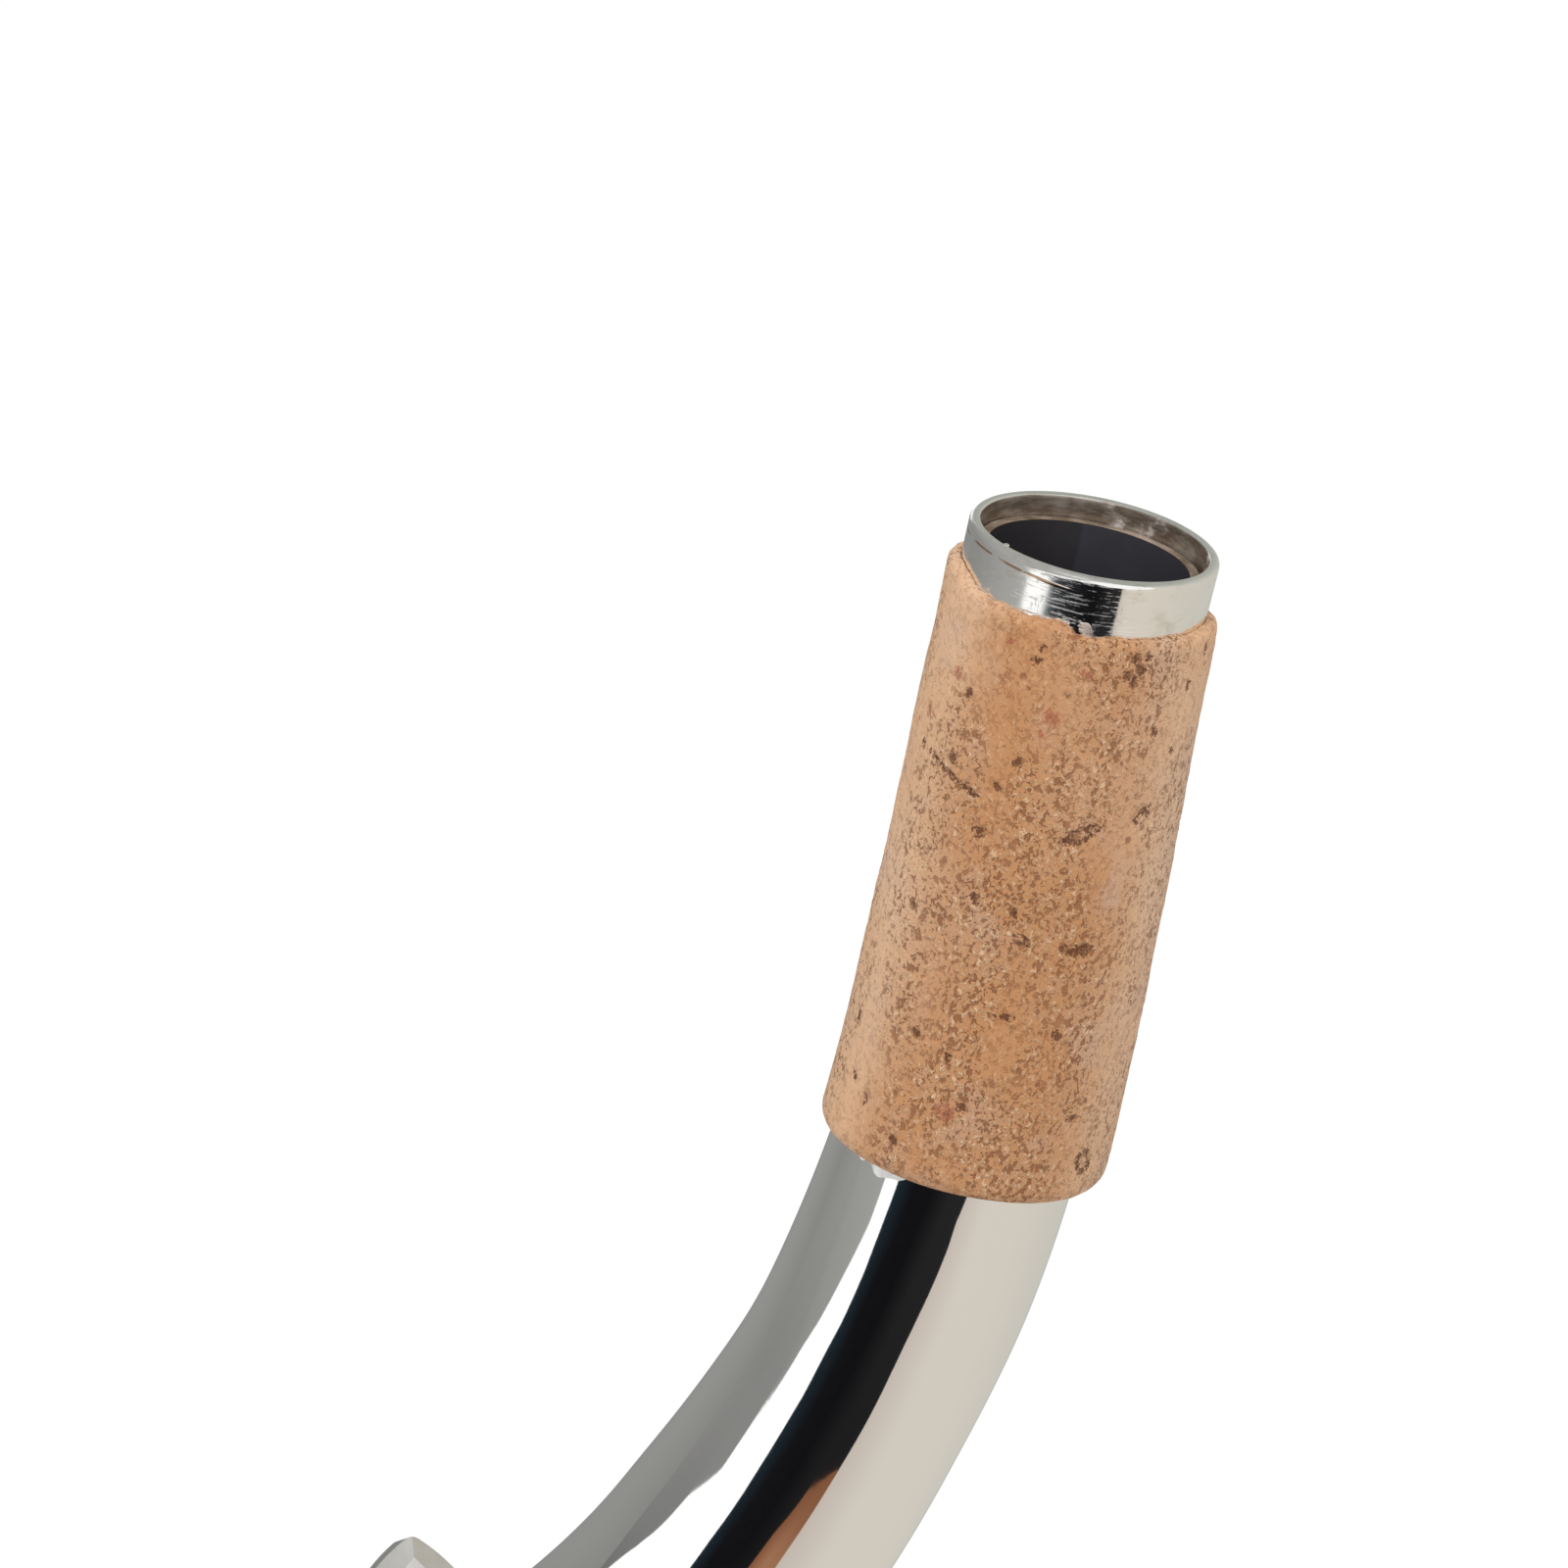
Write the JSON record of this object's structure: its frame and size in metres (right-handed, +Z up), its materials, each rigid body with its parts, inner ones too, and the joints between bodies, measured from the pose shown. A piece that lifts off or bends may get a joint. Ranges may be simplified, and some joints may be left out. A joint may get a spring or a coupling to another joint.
{
  "type": "saxophone neck",
  "caption": "Curved, tapered alto saxophone neck in silver-plated brass with a cork sleeve at the mouthpiece end, a straight tenon and a hinged octave key with its loop.",
  "frame": {"origin": "on the tenon's axis, at the collar's underside that rests on the saxophone's body", "axes": "+Z up along the tenon's axis out of the body; -X towards the mouthpiece; the neck's plane is Y = 0"},
  "size_m": [0.1094, 0.0302, 0.1437],
  "materials": {
    "plated_brass": "silver plated, polished to a mirror",
    "worn_plate": "silver plated, scratched and tarnished",
    "cork": "sanded cork, dry, with open pits",
    "pad_leather": "thin tanned leather over felt",
    "steel": "turned steel, bright",
    "spring_steel": "blued spring steel"
  },
  "bodies": {
    "neck": {"neck_tube": "plated_brass", "tip_ring": "worn_plate", "neck_cork": "cork", "tenon": "plated_brass", "tenon_collar": "plated_brass", "vent_pip": "plated_brass", "vent_saddle": "plated_brass", "post_saddle": "plated_brass", "hinge_post_left": "plated_brass", "hinge_post_right": "plated_brass", "hinge_screw": "steel"},
    "octave_key": {"hinge_tube": "plated_brass", "pad_arm": "plated_brass", "pad_cup": "plated_brass", "key_pad": "pad_leather", "loop_arm": "plated_brass", "octave_loop": "plated_brass", "travel_cork": "cork", "flat_spring": "spring_steel", "spring_screw": "steel"}
  },
  "joints": [
    {"name": "octave_key_hinge", "type": "hinge", "parent": "neck", "child": "octave_key", "pos_m": [0.00423, 0, 0.05047], "axis": [0, 1, 0], "range_deg": [0, 4.4], "stiffness_Nm_per_rad": 0.05, "springref_deg": -14.32, "deforming": ["flat_spring"]}
  ]
}
